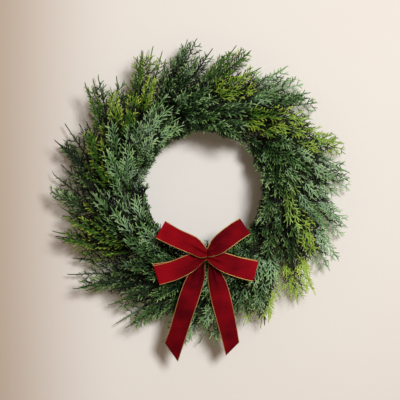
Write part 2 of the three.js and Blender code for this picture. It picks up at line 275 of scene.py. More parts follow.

# The bow: 38 mm ribbon. Each edge of a loop or tail is listed from the waist to its far end, in millimetres
# right of and above the waist
# front and back: how far each layer stands in front of the waist at its root and its fullest
# puff: how much further forward the front layer starts, over the tie wire
# peek: how far the back layer shows above
# the last pair: painted light, how much the velvet is brightened, as if lit, at the waist and at the far end
RIBBON_WIDTH = 38
RIBBON_THICKNESS = 0.9
WAIST = np.array((6.6, WALL_Y - 106, RING_CENTRE_Z - 125))
LOOPS = {
    "upper_left": {
        "upper": ((-0.2, 10), (-5.2, 18), (-20.2, 33.4), (-53.6, 49.2), (-81.4, 65.4)),
        "lower": ((-0.2, -3.6), (-12.4, -5.4), (-30.2, 1.6), (-78, 22), (-100.2, 33)),
        "front": (6.8, 20),
        "back": (3.9, 9),
        "puff": 6,
        "peek": 0,
        "painted_light": (0.55, 1.15),
    },
    "upper_right": {
        "upper": ((0.2, 10), (2.8, 18), (15.4, 36.4), (46.4, 60.8), (63.2, 70.4)),
        "lower": ((0.2, -3.6), (13.2, -2.4), (29.8, 4.2), (66.4, 29.8), (83.8, 40.8)),
        "front": (6.8, 20),
        "back": (3.9, 9),
        "puff": 6,
        "peek": 0,
        "painted_light": (0.05, 0.05),
    },
    "lower_left": {
        "upper": ((-0.2, 1), (-14, 1.5), (-29.2, 2), (-73.6, -14.6), (-105.8, -22.4)),
        "lower": ((-0.2, -9), (-8, -14), (-24.6, -30.2), (-53.6, -46.4), (-93.6, -59.2)),
        "front": (0.9, 4.5),
        "back": (-1.9, -9),
        "puff": 8.5,
        "peek": 3,
        "painted_light": (0.25, 0.85),
    },
    "lower_right": {
        "upper": ((0.2, 1), (14, 2.5), (29.8, 3.8), (66.4, -6.4), (99.8, -13.6)),
        "lower": ((0.2, -9), (5, -16), (26.4, -31.4), (66.4, -46.4), (90.8, -51.8)),
        "front": (0.9, 4.5),
        "back": (-1.9, -9),
        "puff": 8.5,
        "peek": 1.5,
        "painted_light": (0.25, 0.6),
    },
}
TAILS = {
    "left": {
        "inner": ((-1, -1), (-4.8, -24), (-4.6, -42.4), (-13.6, -78), (-31.4, -131.4), (-58, -213.6)),
        "outer": ((-4, 1), (-20, -16), (-41, -48), (-53.6, -80.2), (-73.6, -149.2), (-83.6, -176.8)),
    },
    "right": {
        "inner": ((1, -1), (3.2, -24), (2, -46.8), (7.6, -86.8), (24.2, -149.2), (37.6, -201.4)),
        "outer": ((4, 1), (14, -16), (33, -46), (43.2, -73.6), (57.6, -142), (63.2, -175.8)),
    },
}
# Painted light on the tails, as on the loops: how much the velvet is brightened at the waist and at the far
# end
TAIL_PAINTED_LIGHT = {"left": (-0.1, 0.3), "right": (-0.1, 0.42)}

# How the ribbons run forward and back. Places along a ribbon are shares of its length. A loop's layers
# swell by an arch, drawn towards one end, and a slope. A tail dips behind the waist, falls back towards the
# foliage and waves once
LOOP_SWELLS = {"front": (0.7, 0.8, 0.3), "back": (0.5, 1.3, 0.5)}
TAIL_ROOT_FORWARD = -4
TAIL_DIP = -7
TAIL_DIP_ENDS = 0.14
TAIL_DROP = -36
TAIL_DROP_EASE = 2.4
TAIL_WAVE = 0.6
PUFF_FADE = (0.02, 0.2)
PEEK_STARTS = 0.6
LOOP_STEPS = 44
FOLD_STEPS = 10
TAIL_STEPS = 90
RIBBON_COLUMNS = 44

# Ripples: height and waves along the ribbon, and for a tail the phase. Their skew makes one edge higher
# than the other in turn
LOOP_RIPPLE = (1.3, 1.3)
TAIL_RIPPLES = {"left": (1, 2.3, 0.6), "right": (1.8, 2.9, 2.8)}
RIPPLES_START = (0.1, 0.35)
RIPPLE_SKEW = 0.7
RIPPLE_SKEW_WAVES = 0.63

# Pleats where the ribbon is gathered, which end at its edges and are lost for the most part further out,
# the crown across it, and the gold thread round its wired edges
PLEATS = 2
PLEAT_LIMIT = 4.4
PLEAT_SLANT = 2.0
PLEAT_EDGE = 0.4
PLEATS_FADE = (0.2, 0.56)
PLEATS_LOST = 0.9
CROWN = 1.6
GOLD_RADIUS = 0.68
GOLD_SIDES = 6
GOLD_ROLLED = 0.5

# The tie wire's radius, how finely the wires are divided, and a direction that no tube here starts in
TIE_RADIUS = 1.0
TIE_PIECES = 10
TIE_SIDES = 8
RING_STEPS = 160
RING_SIDES = 14
ASIDE = (0.31, 0.83, 0.46)

# The camera, the wall behind and the light of the room. The sensor is in millimetres and the rest in metres
VIEW_DISTANCE = 2.6
VIEW_WIDTH = 0.8
VIEW_CENTRE = (-0.0074, -0.1685)
SENSOR_WIDTH = 36
WALL_HALF = 3.0
ROOM_COLOUR = (1.0, 0.77, 0.58, 1)
ROOM_STRENGTH = 0.27


def lerp(start, end, share):
    return start + (end - start) * share


def smoothstep(value, low, high):
    share = np.clip((value - low) / (high - low), 0, 1)
    return share * share * (3 - 2 * share)


def unit(vectors):
    return vectors / np.linalg.norm(vectors, axis=-1, keepdims=True)


def draw(spray, use):
    """A repeatable draw from 0 to 1 for each spray and each use of it. The solids were made with the same."""
    wave = math.sin(spray * 12.9898 + use * 78.233) * 43758.5453
    return wave - math.floor(wave)


def vary(spray, use, spread):
    return (2 * draw(spray, use) - 1) * spread


def place(radius, angle, forward):
    """A point by its distance from the ring's axis, angle clockwise from the top and distance forward."""
    return np.array((radius * math.sin(angle), WALL_Y - forward, radius * math.cos(angle)))


def smooth_line(points, closed=False, pieces=16):
    """Close points on the centripetal Catmull-Rom curve through the given ones."""
    knots = np.asarray(points, float)
    if closed:
        knots = np.vstack((knots[-1:], knots, knots[:2]))
    else:
        knots = np.vstack((2 * knots[:1] - knots[1:2], knots, 2 * knots[-1:] - knots[-2:-1]))
    share = np.linspace(0, 1, pieces, endpoint=False)[:, None]
    line = []
    for before, start, end, after in zip(knots, knots[1:], knots[2:], knots[3:]):
        lead, gap, trail = (max(np.linalg.norm(b - a), 1e-6) ** 0.5
                            for a, b in ((before, start), (start, end), (end, after)))
        leave = ((start - before) / lead - (end - before) / (lead + gap) + (end - start) / gap) * gap
        arrive = ((end - start) / gap - (after - start) / (gap + trail) + (after - end) / trail) * gap
        square = 3 * (end - start) - 2 * leave - arrive
        cube = 2 * (start - end) + leave + arrive
        line.append(start + share * (leave + share * (square + share * cube)))
    if not closed:
        line.append(knots[-2:-1])
    return np.vstack(line)


class Path:
    """A curve that is read by the distance along it."""

    def __init__(self, line):
        self.line = line
        self.far = np.concatenate(([0], np.cumsum(np.linalg.norm(np.diff(line, axis=0), axis=1))))
        self.length = self.far[-1]
        self.slope = unit(np.gradient(line, self.far, axis=0))

    def at(self, distance):
        return np.stack([np.interp(distance, self.far, column) for column in self.line.T], -1)

    def tangent(self, distance):
        return unit(np.stack([np.interp(distance, self.far, column) for column in self.slope.T], -1))


def tube(line, radii, sides, closed=False):
    """Points and faces of a round tube along a line, with flat ends unless it is closed."""
    line = np.asarray(line, float)
    count = len(line)
    radii = np.broadcast_to(radii, count)
    slope = np.roll(line, -1, 0) - np.roll(line, 1, 0) if closed else np.gradient(line, axis=0)
    slope = unit(slope)
    across = [unit(np.cross(slope[0], ASIDE))]
    for direction in slope[1:]:
        across.append(unit(across[-1] - direction * np.dot(across[-1], direction)))
    across = np.array(across)
    if closed:
        last = unit(across[-1] - slope[0] * np.dot(across[-1], slope[0]))
        twist = math.atan2(np.dot(np.cross(last, across[0]), slope[0]), np.dot(last, across[0]))
    else:
        twist = 0
    turn = 2 * np.pi * np.arange(sides)[None] / sides + twist * np.arange(count)[:, None] / count
    upward = np.cross(slope, across)
    ring = np.cos(turn)[..., None] * across[:, None] + np.sin(turn)[..., None] * upward[:, None]
    points = (line[:, None] + radii[:, None, None] * ring).reshape(-1, 3)
    rows = count if closed else count - 1
    faces = []
    for i in range(rows):
        low, high = i * sides, (i + 1) % count * sides
        faces += [(low + j, low + (j + 1) % sides, high + (j + 1) % sides, high + j) for j in range(sides)]
    if not closed:
        faces.append(tuple(reversed(range(sides))))
        faces.append(tuple(range((count - 1) * sides, count * sides)))
    return points, faces


class Wire:
    """A shader socket that can be added, subtracted and multiplied: each sum adds a Math node."""

    def __init__(self, finish, socket):
        self.finish = finish
        self.socket = socket

    def math(self, operation, first, second):
        settings = {"operation": operation}
        return self.finish.node("ShaderNodeMath", settings, {0: first, 1: second})

    def __add__(self, other):
        return self.math("ADD", self, other)

    def __radd__(self, other):
        return self.math("ADD", other, self)

    def __sub__(self, other):
        return self.math("SUBTRACT", self, other)

    def __rsub__(self, other):
        return self.math("SUBTRACT", other, self)

    def __mul__(self, other):
        return self.math("MULTIPLY", self, other)

    def __rmul__(self, other):
        return self.math("MULTIPLY", other, self)


class Finish:
    """A material that is built node by node."""

    def __init__(self, name):
        self.material = bpy.data.materials.new(name)
        self.material.use_nodes = True
        self.tree = self.material.node_tree
        self.tree.nodes.clear()

    def node(self, kind, settings=None, inputs=None, output=0):
        made = self.tree.nodes.new(kind)
        for name, value in (settings or {}).items():
            setattr(made, name, value)
        for name, value in (inputs or {}).items():
            if isinstance(value, Wire):
                self.tree.links.new(value.socket, made.inputs[name])
            else:
                made.inputs[name].default_value = value
        return Wire(self, made.outputs[output]) if len(made.outputs) else None

    def attribute(self, name):
        return self.node("ShaderNodeAttribute", {"attribute_name": name}, output="Fac")

    def noise(self, scale, detail=2.0, stretch=None):
        where = self.node("ShaderNodeTexCoord", output="Object")
        if stretch:
            where = self.node("ShaderNodeMapping", None, {"Vector": where, "Scale": stretch})
        return self.node("ShaderNodeTexNoise", None, {"Vector": where, "Scale": scale, "Detail": detail})

    def across(self):
        """How far right of the wreath's middle a point lies, in metres."""
        where = self.node("ShaderNodeTexCoord", output="Object")
        return self.node("ShaderNodeSeparateXYZ", None, {"Vector": where}, "X")

    def clamp(self, value):
        return self.node("ShaderNodeClamp", None, {"Value": value})

    def mix(self, share, first, second):
        settings = {"data_type": "RGBA", "clamp_factor": True}
        inputs = {"Factor": share, MIX_FIRST: first, MIX_SECOND: second}
        return self.node("ShaderNodeMix", settings, inputs, MIX_RESULT)

    def bump(self, height, strength, distance):
        inputs = {"Height": height, "Strength": strength, "Distance": distance}
        return self.node("ShaderNodeBump", None, inputs)

    def principled(self, **inputs):
        inputs = {name.replace("_", " "): value for name, value in inputs.items()}
        shader = self.node("ShaderNodeBsdfPrincipled", None, inputs)
        self.node("ShaderNodeOutputMaterial", None, {"Surface": shader})
        return self.material


def colour(code):
    """A linear colour from its web code."""
    parts = [int(code[i:i + 2], 16) / 255 for i in (1, 3, 5)]
    return (*((part / 12.92 if part < 0.04045 else ((part + 0.055) / 1.055) ** 2.4) for part in parts), 1)


def foliage_finish(name, deep, fresh, tip, bloom):
    """Scaly leaves, deep inside the spray and fresh at its tips, a pale bloom, and bark on the stem. Painted
    light brightens the leaves on one side of the ring and darkens them across from it, and painted shade
    darkens those that lie deep in the foliage.
    """
    finish = Finish(name)
    age = finish.attribute("age")
    tone = finish.attribute("tone")
    patches = finish.noise(26)
    flecks = finish.noise(420, 3.0)
    # The bloom read here is partly the leaves' own bloom and partly painted light: it also makes them fresher and     brighter on one side of the ring and darker across from it
    bloom_and_light = finish.attribute("bloom")
    freshness = finish.clamp(1.1 * age + 0.8 * tone + 0.5 * flecks + 0.5 * bloom_and_light - 0.85)
    tipped = finish.clamp(1.7 * age + 0.6 * flecks + 0.5 * tone - 1.4)
    bloomed = finish.clamp(2.2 * patches + 0.8 * flecks + 1.2 * tone + bloom_and_light - 2.2)
    shade = finish.mix(freshness, colour(deep), colour(fresh))
    shade = finish.mix(0.75 * bloomed, shade, colour(bloom))
    shade = finish.mix(finish.attribute("yellow") * freshness, shade, colour(YELLOW_LEAF))
    shade = finish.mix(tipped, shade, colour(tip))
    shade = finish.mix(finish.attribute("bark"), shade, colour("#43361f"))
    # Painted shade: leaves that lie deep inside the foliage are darkened almost to black
    shade = finish.mix(0.95 * finish.attribute("inner"), shade, colour("#030602"))
    return finish.principled(
        Base_Color=shade,
        Roughness=0.42 + 0.3 * flecks,
        Normal=finish.bump(flecks, 0.45, 0.0004),
        Specular_IOR_Level=0.2,
    )


def velvet_finish():
    """Deep red pile with soft blotches and faint brushed streaks, and painted light that makes each ribbon
    brighter or darker along its length.
    """
    finish = Finish("red_velvet")
    blotches = finish.noise(24, 1.5)
    brushed = finish.noise(60, 2.0, (1, 1, 5))
    pile = finish.noise(1600, 2.0)
    # The blotches and brushed streaks are the velvet's own; the attribute added to them is painted light
    blotches_and_painted_light = finish.clamp(1.4 * blotches + 0.5 * brushed + 0.9 * finish.attribute("painted_light") - 0.9)
    shade = finish.mix(blotches_and_painted_light, colour("#50030c"), colour("#9c0b18"))
    shade = finish.mix(0.3 * pile, shade, colour("#4a0208"))
    return finish.principled(
        Base_Color=shade,
        Roughness=0.75 + 0.2 * pile,
        Normal=finish.bump(pile, 0.35, 0.0003),
        Sheen_Weight=0.25,
        Sheen_Roughness=0.4,
        Sheen_Tint=colour("#c01020"),
        Specular_IOR_Level=0.04,
    )


def gold_finish():
    """Metallic thread overlocked round the ribbon's wired edge."""
    finish = Finish("gold_edging")
    thread = finish.noise(900, 2.0)
    shade = finish.mix(thread, colour("#a87a34"), colour("#e8c67e"))
    return finish.principled(
        Base_Color=shade,
        Metallic=0.6,
        Roughness=0.34 + 0.25 * thread,
        Normal=finish.bump(thread, 0.5, 0.0003),
    )


def enamel_finish(name, low, high):
    """Green enamel on wire, a little uneven."""
    finish = Finish(name)
    runs = finish.noise(120, 3.0)
    return finish.principled(
        Base_Color=finish.mix(runs, colour(low), colour(high)),
        Metallic=0.2,
        Roughness=0.35 + 0.25 * runs,
        Normal=finish.bump(runs, 0.2, 0.0005),
    )


def wall_finish():
    """Warm pale plaster, with painted shade that darkens and browns it to the left as if the light fell off
    there. Its back can't be seen, so the wreath shows from behind.
    """
    finish = Finish("wall")
    mottle = finish.noise(2.2, 4.0)
    grain = finish.noise(260, 3.0)
    shade = finish.mix(0.5 * mottle + 0.1 * grain, colour("#e6dfd8"), colour("#edeae6"))
    # Painted shade: the wall darkened towards the left, as if the light fell off there
    painted_falloff = finish.node("ShaderNodeMapRange", {"interpolation_type": "SMOOTHERSTEP"}, {
        "Value": finish.across(), "From Min": -0.12, "From Max": -0.58,
    })
    shade = finish.mix(painted_falloff, shade, colour("#b09a84"))
    paint = finish.node("ShaderNodeBsdfPrincipled", None, {
        "Base Color": shade,
        "Roughness": 0.9,
        "Specular IOR Level": 0.2,
        "Normal": finish.bump(grain, 0.15, 0.0008),
    })
    back = finish.node("ShaderNodeNewGeometry", output="Backfacing")
    clear = finish.node("ShaderNodeBsdfTransparent")
    both = finish.node("ShaderNodeMixShader", None, {0: back, 1: paint, 2: clear})
    finish.node("ShaderNodeOutputMaterial", None, {"Surface": both})
    return finish.material


def add_piece(name, points, faces, finish, nodes=()):
    """A smooth mesh, from points in millimetres, that rides on the wreath in place of some of its solids."""
    mesh = bpy.data.meshes.new(name)
    mesh.from_pydata((np.asarray(points) * MM).tolist(), [], faces)
    mesh.polygons.foreach_set("use_smooth", np.ones(len(mesh.polygons), bool))
    mesh.materials.append(finish)
    piece = bpy.data.objects.new(name, mesh)
    bpy.context.scene.collection.objects.link(piece)
    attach(piece, "root")
    if nodes:
        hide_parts(*nodes)
    return piece


class Spray:
    """One spray: the line of its stem, and the flat plan that is bent along it."""

    def __init__(self, kind, lime, tip, seed):
        self.kind_name = kind
        self.kind = KINDS[kind]
        self.lime = lime
        self.tip = tip
        self.seed = seed
        self.root = 0.0
        self.name = ""
        self.path = Path(smooth_line(self.stem_points()))
        self.length = self.path.length

    def stem_points(self):
        kind = self.kind
        length = kind["length"] * (1 + vary(self.seed, 1, LENGTH_SPREAD))
        heading_at_tip = kind["headings"][1] + vary(self.seed, 2, HEADING_SPREAD)
        forward_at_tip = kind["forward"][1] + vary(self.seed, 3, HEIGHT_SPREAD)
        leaves = math.radians(kind["leaves"])
        root_forward = RING_FORWARD + COIL_RADIUS * math.sin(leaves)
        step = length / SPINE_STEPS
        radius = RING_RADIUS + COIL_RADIUS * math.cos(leaves)
        angle = 0
        points = []
        for i in range(SPINE_STEPS + 1):
            t = i / SPINE_STEPS
            early = (1 - t) ** 2 * root_forward
            forward = early + 2 * t * (1 - t) * kind["forward"][0] + t * t * forward_at_tip
            points.append(place(radius, angle, forward))
            heading = math.radians(lerp(kind["headings"][0], heading_at_tip, t ** HEADING_EASE))
            radius += step * math.cos(heading)
            angle += step * math.sin(heading) / radius
        return points

    def bend(self, flat):
        """Moves points of the flat plan to their real places.

        Each is given by how far it is along the stem, out to the side and up from the face.
        """
        along, out, rise = np.asarray(flat, float).T
        kind = self.kind
        inside = np.clip(along, 0, self.length)
        tangent = self.path.tangent(inside)
        side = unit(np.cross((0, -1, 0), tangent))
        normal = np.cross(tangent, side)
        full_roll = math.radians(kind["roll"] + vary(self.seed, 4, ROLL_SPREAD))
        roll = full_roll * smoothstep(along, 0, kind["bare"])[:, None]
        flat_side = side * np.cos(roll) + normal * np.sin(roll)
        flat_normal = np.cross(tangent, flat_side)
        pair_pitch = 2 * (self.length - kind["bare"] - BARE_TIP) / (kind["branches"] - 1)
        root = along - np.abs(out) / math.tan(math.radians(BRANCH_ANGLE))
        wave = np.sin(np.pi * (root - kind["bare"]) / pair_pitch + self.seed)
        lifted = rise + BRANCH_LIFT * np.abs(out) * wave - CAMBER * out * out
        spot = self.path.at(inside) + (along - inside)[:, None] * tangent
        return self.turned(spot + out[:, None] * flat_side + lifted[:, None] * flat_normal)

    def turned(self, points):
        """Turns points from the top of the ring to the spray's own place on it."""
        turn = math.radians(self.root)
        x, y, z = np.asarray(points).T
        across = x * math.cos(turn) + z * math.sin(turn)
        up = z * math.cos(turn) - x * math.sin(turn)
        return np.stack((across, y, up + RING_CENTRE_Z), -1)

    def branches(self):
        """Root along the rib, side, reach and angle of each branch."""
        kind = self.kind
        leafy = self.length - kind["bare"] - BARE_TIP
        for i in range(kind["branches"]):
            side = 1 if i % 2 else -1
            share = i / (kind["branches"] - 1)
            outward = kind["outward"] if side > 0 else 1
            longest = kind["branch"] * outline(share, SPRAY_OUTLINE) * outward
            reach = longest * (1 + vary(self.seed, 10 + i, REACH_SPREAD))
            angle = BRANCH_ANGLE + vary(self.seed, 30 + i, BRANCH_SPREAD)
            yield kind["bare"] + leafy * share, side, reach, angle


def outline(share, lines):
    """A branch's length by its place along a rib: the lower of two lines, each a start and a slope."""
    return min(start + slope * share for start, slope in lines)


class Growth:
    """The twigs of a spray in its flat plan.

    twigs: kept together by their number of points. Each point has its place, half width, age and tone
    sites: the places where branchlets can grow
    clear: a function that tells how much of a branch's reach stays out of the wreath's hole
    """

    def __init__(self, seed, clear):
        self.twigs = {}
        self.sites = []
        self.chance = random.Random(seed)
        self.clear = clear

    def jitter(self, spread):
        return self.chance.uniform(-spread, spread)

    def walk(self, root, heading, climb, length, count, curl):
        """Points at even steps from a root, and the heading at each, which turns by curl over the length."""
        points, headings = [root], [heading]
        step = length / count
        for _ in range(count):
            x, y, rise = points[-1]
            points.append((x + step * math.cos(heading), y + step * math.sin(heading), rise + step * climb))
            heading += curl / count
            headings.append(heading)
        return points, headings

    def twig(self, points, halves, ages, tone):
        rows = [(*point, half, age, tone) for point, half, age in zip(points, halves, ages)]
        self.twigs.setdefault(len(points), []).append(rows)

    def lobe(self, root, heading, climb, length, age, tone):
        points, _ = self.walk(root, heading, climb, length, 1, 0)
        self.twig(points, (LOBE_HALF, 0), (age, age + AGES["lobe"]), tone)

    def branchlet(self, root, heading, climb, length, age, tone):
        """A short twig with lobes in turn on its two sides."""
        count = max(2, round(length / BRANCHLET_STEP))
        curl = self.jitter(SPREADS["branchlet"]["curl"])
        points, headings = self.walk(root, heading, climb, length, count, curl)
        shares = [i / count for i in range(count + 1)]
        narrow, wider = BRANCHLET_FLARE
        halves = [BRANCHLET_HALF * (narrow + wider * share) for share in shares[:-1]] + [0]
        ages = [age + AGES["branchlet"] * share for share in shares]
        self.twig(points, halves, ages, tone)
        side = self.chance.choice((-1, 1))
        spread = SPREADS["lobe"]
        for i in range(1, count):
            turned = headings[i] + side * math.radians(LOBE_ANGLE + self.jitter(spread["turn"]))
            reach = LOBE_LENGTH * (1 + self.jitter(spread["length"]))
            self.lobe(points[i], turned, climb + self.jitter(spread["climb"]), reach, ages[i], tone)
            side = -side

    def branch(self, root, heading, turned, climb, length, age, tone):
        """A twig that leaves a rib and curves forward along it, with branchlets in turn on its two sides."""
        length *= self.clear(root, heading + turned, length)
        if length < 2 * BRANCH_STEP:
            return
        count = max(3, round(length / BRANCH_STEP))
        curve = -math.copysign(math.radians(BRANCH_CURVE), turned)
        begin = heading + turned - curve / 2
        curl = curve + self.jitter(SPREADS["branch"]["curl"])
        points, headings = self.walk(root, begin, climb, length, count, curl)
        shares = [i / count for i in range(count + 1)]
        halves = [BRANCH_HALF * lerp(*BRANCH_TAPER, share) for share in shares[:-1]] + [0]
        ages = [age + AGES["branch"] * share for share in shares]
        self.twig(points, halves, ages, tone)
        side = self.chance.choice((-1, 1))
        longest = BRANCH_WIDTH / math.sin(math.radians(BRANCHLET_ANGLE)) / 2
        spread = SPREADS["branchlet"]
        for i in range(1, count):
            reach = longest * float(np.interp(shares[i], *BRANCH_OUTLINE))
            aside = headings[i] + side * math.radians(BRANCHLET_ANGLE + self.jitter(spread["turn"]))
            lift = climb + self.jitter(spread["climb"])
            own_tone = tone + self.jitter(spread["tone"])
            reach *= 1 + self.jitter(spread["length"])
            self.sites.append((points[i], aside, lift, reach, ages[i], own_tone))
            side = -side

    def rib(self, root, heading, climb, length, halves, tone):
        """The twig down the middle of a frond: short branchlets, then a shoot with small lobes alone."""
        count = round(length / RIB_STEP)
        curl = self.jitter(SPREADS["rib"]["curl"])
        points, headings = self.walk(root, heading, climb, length, count, curl)
        shares = [i / count for i in range(count + 1)]
        widths = [lerp(*halves, share) for share in shares[:-1]] + [0]
        ages = [AGES["rib"] * share for share in shares]
        self.twig(points, widths, ages, tone)
        side = 1
        spread = SPREADS["rib_branchlet"]
        for i in range(1, count):
            turned = headings[i] + side * math.radians(BRANCHLET_ANGLE + self.jitter(spread["turn"]))
            if shares[i] > SHOOT_SHARE:
                reach = LOBE_LENGTH * lerp(*SHOOT_LOBES, shares[i])
                self.lobe(points[i], turned, climb, reach, AGES["rib"], tone)
            elif shares[i] > RIB_BARE:
                reach = lerp(*RIB_BRANCHLETS, shares[i]) + self.jitter(spread["length"])
                lift = climb + self.jitter(spread["climb"])
                self.sites.append((points[i], turned, lift, reach, ages[i], tone))
            side = -side

    def frond(self, root, heading, climb, length, longest, tone):
        """A smaller frond: a rib with pairs of branches."""
        length *= self.clear(root, heading, length)
        if length < longest:
            return
        self.rib(root, heading, climb, length, (FROND_HALF, SHOOT_HALF), tone)
        pairs = max(4, round(length / FROND_PITCH))
        first, span = FROND_BRANCHED
        spread = SPREADS["frond_branch"]
        for i in range(pairs):
            share = first + span * i / (pairs - 1)
            age = AGES["branch_root"] * share
            for side in (-1, 1):
                run = length * (share + self.jitter(spread["start"]))
                ahead, aside = root[0] + run * math.cos(heading), root[1] + run * math.sin(heading)
                spot = (ahead, aside, root[2] + run * climb)
                reach = longest * outline(share, FROND_OUTLINE) * (1 + self.jitter(spread["length"]))
                turned = side * math.radians(FROND_ANGLE + self.jitter(spread["turn"]))
                lift = climb + self.jitter(spread["climb"])
                self.branch(spot, heading, turned, lift, reach, age, tone + self.jitter(spread["tone"]))

    def points(self):
        return np.vstack([np.array(group)[..., :3].reshape(-1, 3) for group in self.twigs.values()])

    def leaf_out(self, seen):
        """Grows the branchlets of the sites that are seen."""
        for site, kept in zip(self.sites, seen):
            if kept:
                self.branchlet(*site)


def clear_of_hole(spray):
    """For a spray, a function that gives the share of a branch's reach that stays out of the hole."""
    shares = np.array(CUT_SHARES)

    def clear(root, heading, reach):
        run = reach * shares
        ahead, aside = root[0] + run * math.cos(heading), root[1] + run * math.sin(heading)
        ends = spray.bend(np.stack((ahead, aside, run * 0 + root[2]), -1))
        radius, edge = hole_edge(ends, HOLE_EDGE)
        free = np.nonzero(radius > edge)[0]
        return shares[free[0]] if len(free) else 0

    return clear


def polar(points):
    """How far points are from the axis of the ring, and their angle from its top."""
    x, z = points[:, 0], points[:, 2] - RING_CENTRE_Z
    return np.hypot(x, z), np.arctan2(x, z)


def swing(around, side, even, change):
    """A value that changes round the ring: by the whole change on one side, and by its opposite across."""
    return even + change * np.cos(around - math.radians(side))


def hole_edge(points, limit):
    """How far points are from the axis of the ring, and an uneven limit for that distance."""
    radius, around = polar(points)
    tufts = sum(rise * np.sin(count * around + count) for count, rise in HOLE_TUFTS)
    fill = WAIST_FILL * np.exp(-((np.pi - np.abs(around)) / WAIST_FILL_ANGLE) ** 2)
    return radius, limit + tufts - fill


def grow_spray(spray):
    """The main frond of a spray on the lines of its solid, with smaller fronds that leave its stem."""
    growth = Growth(spray.seed, clear_of_hole(spray))
    length = spray.length
    full = swing(math.radians(spray.tip), FULLER_SIDE, *FULLNESS)
    bare = spray.kind["bare"]
    leader = (LEADER if spray.kind_name == "outer" else 0) + (full - 1) * length
    tone = TONE + vary(spray.seed, 5, TONE_SPREAD)
    # Painted shade: lime sprays are made darker on one side of the ring
    if spray.lime:
        tone += swing(math.radians(spray.tip), LIME_SHADE_SIDE, *LIME_PAINTED_SHADE)
    spread = SPREADS["branch"]
    for root, side, reach, angle in spray.branches():
        age = AGES["branch_root"] * root / length
        reach *= full * smoothstep(length - root, *BRANCHES_FADE)
        for own, share, shift in ((side, 1, 0), (-side, PAIRED_LENGTH, PAIRED_SHIFT)):
            turned = own * math.radians(angle + growth.jitter(spread["turn"]))
            start = (root + growth.jitter(shift), 0, 0)
            climb = growth.jitter(spread["climb"])
            growth.branch(start, 0, turned, climb, reach * share, age, tone + growth.jitter(spread["tone"]))
    begin = RIB_BEGINS * bare
    growth.rib((begin, 0, 0), 0, 0, length + leader - begin, (RIB_ROOT_HALF, SHOOT_HALF), tone)
    fronds = LIME_FRONDS if spray.lime else SIDE_FRONDS + WIDE_FRONDS
    if spray.kind_name == "inner":
        fronds += ROOT_FRONDS
    if spray.kind_name in ("inner", "crest"):
        fronds += END_FRONDS
    spread = SPREADS["frond"]
    for turn, climb, start, share in fronds:
        heading = math.radians(turn + growth.jitter(spread["turn"]))
        reach = full * share * length * (1 + growth.jitter(spread["length"]))
        longest = full * FROND_BRANCH * spray.kind["branch"]
        rise = climb + growth.jitter(spread["climb"])
        own_tone = tone + growth.jitter(spread["tone"])
        growth.frond((start * length, 0, 0), heading, rise, reach, longest, own_tone)
    return growth


def twig_mesh(twigs):
    """Points, ages, tones and faces of twigs: three corners at each point of a twig, and its tip."""
    points, ages, tones, faces = [], [], [], []
    first = 0
    for count, group in sorted(twigs.items()):
        rows = np.array(group)
        spots, half, age, tone = rows[..., :3], rows[..., 3:4], rows[..., 4], rows[..., 5]
        run = np.gradient(spots, axis=1)[:, :-1]
        across = unit(np.stack((-run[..., 1], run[..., 0], np.zeros(run.shape[:2])), -1)) * half[:, :-1]
        up = np.array((0, 0, 1.0)) * half[:, :-1]
        base = spots[:, :-1]
        corners = (base + across - up * UNDERSIDE, base + up * RIDGE, base - across - up * UNDERSIDE)
        ring = np.stack(corners, 2).reshape(len(rows), -1, 3)
        points.append(np.concatenate((ring, spots[:, -1:]), 1).reshape(-1, 3))
        ages.append(np.concatenate((np.repeat(age[:, :-1], 3, 1), age[:, -1:]), 1).ravel())
        tones.append(np.concatenate((np.repeat(tone[:, :-1], 3, 1), tone[:, -1:]), 1).ravel())
        template = [(0, 2, 1)]
        for i in range(count - 2):
            low, high = 3 * i, 3 * i + 3
            for j, k in ((0, 1), (1, 2), (2, 0)):
                template += [(low + j, low + k, high + j), (high + j, low + k, high + k)]
        last, tip = 3 * (count - 2), 3 * (count - 1)
        template += [(last + j, last + k, tip) for j, k in ((0, 1), (1, 2), (2, 0))]
        size = tip + 1
        firsts = first + size * np.arange(len(rows))[:, None, None]
        faces.append((firsts + np.array(template)).reshape(-1, 3))
        first += size * len(rows)
    return np.vstack(points), np.concatenate(ages), np.concatenate(tones), np.vstack(faces)


def soften(values, limit, sign):
    """Eases values near a limit, so that none passes it. sign: 1 for an upper limit, -1 for a lower one."""
    start = limit - sign * LIMIT_SOFTNESS
    past = np.maximum(sign * (values - start), 0)
    return np.where(past > 0, start + sign * LIMIT_SOFTNESS * (1 - np.exp(-past / LIMIT_SOFTNESS)), values)


def settle(points, ribbons):
    """Keeps foliage out of the hole and within its depth, and pushes it back behind the ribbons."""
    radius, inner = hole_edge(points, HOLE_LIMIT)
    outer = swing(polar(points)[1], FULLER_SIDE, *OUTER_LIMITS)
    squeeze = (soften(soften(radius, inner, -1), outer, 1) / radius)[:, None]
    centre = (0, 0, RING_CENTRE_Z)
    points = (points - centre) * np.hstack((squeeze, squeeze ** 0, squeeze)) + centre
    points[:, 0] = soften(points[:, 0], LEFT_LIMIT, -1)
    depth = soften(soften(points[:, 1], BACK_LIMIT, 1), FRONT_LIMIT, -1)
    from_bow = np.abs(points[:, (0, 2)] - (WAIST[0], WAIST[2] - BOW_MIDDLE_DROP))
    near = np.nonzero(np.all(from_bow < BOW_HALF_SIZE, axis=1))[0]
    if len(near):
        gaps = np.linalg.norm(points[near][:, None, (0, 2)] - ribbons[None, :, (0, 2)], axis=2)
        behind = ribbons[None, :, 1] + RIBBON_GAP - RIBBON_SLOPE * np.maximum(gaps - RIBBON_REACH, 0)
        depth[near] = np.maximum(depth[near], behind.max(1))
    return np.stack((points[:, 0], depth, points[:, 2]), -1)


